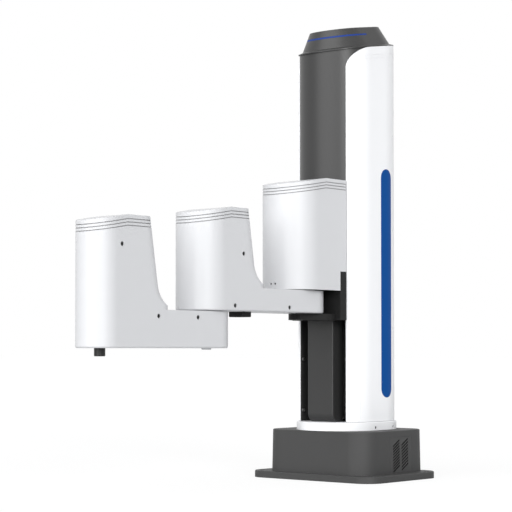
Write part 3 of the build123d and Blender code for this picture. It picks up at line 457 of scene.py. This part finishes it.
def socket_screws(name, node_name, body, towards_middle=False, hub_x=None, finish="screw_black"):
    discs = screw_discs(node_name)
    points = bpy.data.meshes.new(name + "_points")
    points.from_pydata([disc[0] for disc in discs], [], [])
    axes = points.attributes.new("axis", "FLOAT_VECTOR", "POINT")
    thickness, radius = [], []
    for index, (middle, axis, cloud) in enumerate(discs):
        axes.data[index].vector = outward(middle, axis, towards_middle, hub_x)
        lengthwise = (cloud - middle) @ axis
        across = cloud - middle - np.outer(lengthwise, axis)
        thickness.append(np.ptp(lengthwise))
        radius.append(np.linalg.norm(across, axis=1).max())
    thing = bpy.data.objects.new(name, points)
    bpy.context.scene.collection.objects.link(thing)
    modifier = thing.modifiers.new("heads", "NODES")
    modifier.node_group = head_tree
    head_radius = float(np.median(radius))
    set_input(modifier, "Radius", head_radius)
    set_input(modifier, "Height", float(np.median(thickness)))
    set_input(modifier, "Socket", socket_share * head_radius)
    set_input(modifier, "Finish", finishes[finish])
    plain_mesh(thing, name)
    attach(thing, body)
    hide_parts(node_name)
    print(name, "heads:", len(discs), "radius in mm:", round(1000 * head_radius, 2))
    return thing


socket_screws("cover_socket_screws", "cover_screws", "base")
socket_screws(
    "recess_socket_screws", "recess_screws", "base", towards_middle=True, finish="screw_ring"
)
# Any point on the axis line well inside the shoulder's round nose
shoulder_hub_x = 0.100
socket_screws("shoulder_socket_screws", "shoulder_screws", "carriage", hub_x=shoulder_hub_x)
socket_screws("rear_arm_socket_screws", "rear_arm_screws", "rear_arm")
socket_screws("forearm_socket_screws", "forearm_screws", "forearm")

# %% [markdown]
# ## Shade sheets behind the vents
#
# A black sheet behind each louvred panel stands in for the shade inside the housing; this painted
# shade is why the slits look black.


# %% Two thin sheets
def block(name, low, high, finish):
    """A plain box between two corners, in millimetres."""
    work = bmesh.new()
    bmesh.ops.create_cube(work, size=1.0)
    middle = [(a + b) / 2 * millimetre for a, b in zip(low, high)]
    size = [(b - a) * millimetre for a, b in zip(low, high)]
    place = Matrix.Translation(middle) @ Matrix.Diagonal(size + [1.0])
    bmesh.ops.transform(work, matrix=place, verts=work.verts)
    mesh = bpy.data.meshes.new(name)
    work.to_mesh(mesh)
    work.free()
    mesh.materials.append(finish)
    thing = bpy.data.objects.new(name, mesh)
    bpy.context.scene.collection.objects.link(thing)
    return thing


# Black sheets of painted shade, just inside each vent panel
sheet_inner_y, sheet_outer_y = 89.6, 90.6
for side, label in ((1, "left"), (-1, "right")):
    across = sorted((side * sheet_inner_y, side * sheet_outer_y))
    low, high = (-44.0, across[0], 10.5), (14.0, across[1], 63.5)
    sheet = block("vent_shade_sheet_" + label, low, high, finishes["socket_black"])
    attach(sheet, "base")

# %% [markdown]
# ## Floor and world
#
# The robot stands on a white sweep with no horizon. The camera sees most of the floor as plain
# white, and the rest as the lit surface, which keeps the contact shadow. Camera and mirror rays
# see the world as white too, while the light that the world gives is set apart from that.

# %% Floor
floor_mesh = bpy.data.meshes.new("floor")
reach = 30.0
corners = [(-reach, -reach, 0), (reach, -reach, 0), (reach, reach, 0), (-reach, reach, 0)]
floor_mesh.from_pydata(corners, [], [(0, 1, 2, 3)])
floor = bpy.data.objects.new("floor", floor_mesh)
bpy.context.scene.collection.objects.link(floor)
floor_finish = Finish("floor")
floor_finish.set(Base_Color=grey(0.80), Roughness=0.9)
white_share, white_strength = 0.80, 1.07
seen_white = floor_finish.node(
    "ShaderNodeEmission", inputs={"Color": grey(1.0), "Strength": white_strength}
)
by_camera = floor_finish.node("ShaderNodeLightPath", output="Is Camera Ray") * white_share
surface_wire = Wire(floor_finish.tree, floor_finish.surface.outputs[0])
sweep = floor_finish.node(
    "ShaderNodeMixShader", inputs={0: by_camera, 1: surface_wire, 2: seen_white}
)
floor_output = floor_finish.tree.nodes["Material Output"]
floor_finish.tree.links.new(sweep.socket, floor_output.inputs["Surface"])
floor_mesh.materials.append(floor_finish.material)

# %% World
world = bpy.data.worlds.new("studio")
bpy.context.scene.world = world
world.use_nodes = True
tree = world.node_tree
tree.nodes.clear()
rays = tree.nodes.new("ShaderNodeLightPath")
output = tree.nodes.new("ShaderNodeOutputWorld")
seen = tree.nodes.new("ShaderNodeBackground")
seen.inputs["Strength"].default_value = 1.0
seen.inputs["Color"].default_value = grey(1.0)
giving = tree.nodes.new("ShaderNodeBackground")
giving.inputs["Strength"].default_value = 0.30
giving.inputs["Color"].default_value = (0.96, 0.98, 1.0, 1.0)
choice = tree.nodes.new("ShaderNodeMixShader")
sees_white = Wire(tree, rays.outputs["Is Camera Ray"])
for kind in ("Is Glossy Ray", "Is Transmission Ray"):
    sees_white = sees_white + Wire(tree, rays.outputs[kind])
feed(tree, choice.inputs[0], sees_white)
tree.links.new(giving.outputs[0], choice.inputs[1])
tree.links.new(seen.outputs[0], choice.inputs[2])
tree.links.new(choice.outputs[0], output.inputs["Surface"])
print("world nodes:", len(tree.nodes))

# %% [markdown]
# ## Lamps
#
# Two wide suns light the floor and the robot evenly from end to end. The key stands near the
# arm's line, so the noses are bright and the flanks darker. The second stands beside the camera
# and draws the soft highlight down the dark column. Their angles are wide, for soft shadows.


# %% Lamps
def sun(name, azimuth, elevation, power, width):
    light = bpy.data.lights.new(name, "SUN")
    light.energy = power
    light.angle = math.radians(width)
    lamp = bpy.data.objects.new(name, light)
    turn, rise = math.radians(azimuth), math.radians(elevation)
    level = math.cos(rise)
    towards = Vector((math.cos(turn) * level, math.sin(turn) * level, math.sin(rise)))
    lamp.location = 4.0 * towards
    lamp.rotation_euler = towards.to_track_quat("Z", "Y").to_euler()
    bpy.context.scene.collection.objects.link(lamp)
    return lamp


sun("key", 5.0, 28.0, 2.95, 70.0)
sun("side", 60.0, 18.0, 1.7, 24.0)

# %% [markdown]
# ## Camera
#
# The photograph is a long-lens view from a little above bench height, 41 degrees round from the
# arm's line. A level camera would need a large lens shift to frame the whole column, so half of
# it is given by tipping the camera up, which changes the picture by less than a pixel.

# %% Camera
camera_data = bpy.data.cameras.new("camera")
camera_data.sensor_width = 36.0
focal_pixels = 1648.9
picture_pixels = 512.0
camera_data.lens = focal_pixels / picture_pixels * camera_data.sensor_width
horizon_below_middle = 94.45
tip = math.radians(1.7)
camera_data.shift_y = (horizon_below_middle - focal_pixels * math.tan(tip)) / picture_pixels
camera_data.clip_end = 60.0
camera = bpy.data.objects.new("camera", camera_data)
camera.location = (1.9587, 1.5145, 0.1893)
level_view = Vector((-0.7575, -0.6529, 0.0)).normalized()
view = level_view * math.cos(tip) + Vector((0, 0, math.sin(tip)))
camera.rotation_euler = view.to_track_quat("-Z", "Y").to_euler()
bpy.context.scene.collection.objects.link(camera)
bpy.context.scene.camera = camera
bpy.context.scene.view_settings.view_transform = "Standard"
print("lens in mm:", round(camera_data.lens, 1), "shift:", round(camera_data.shift_y, 4))
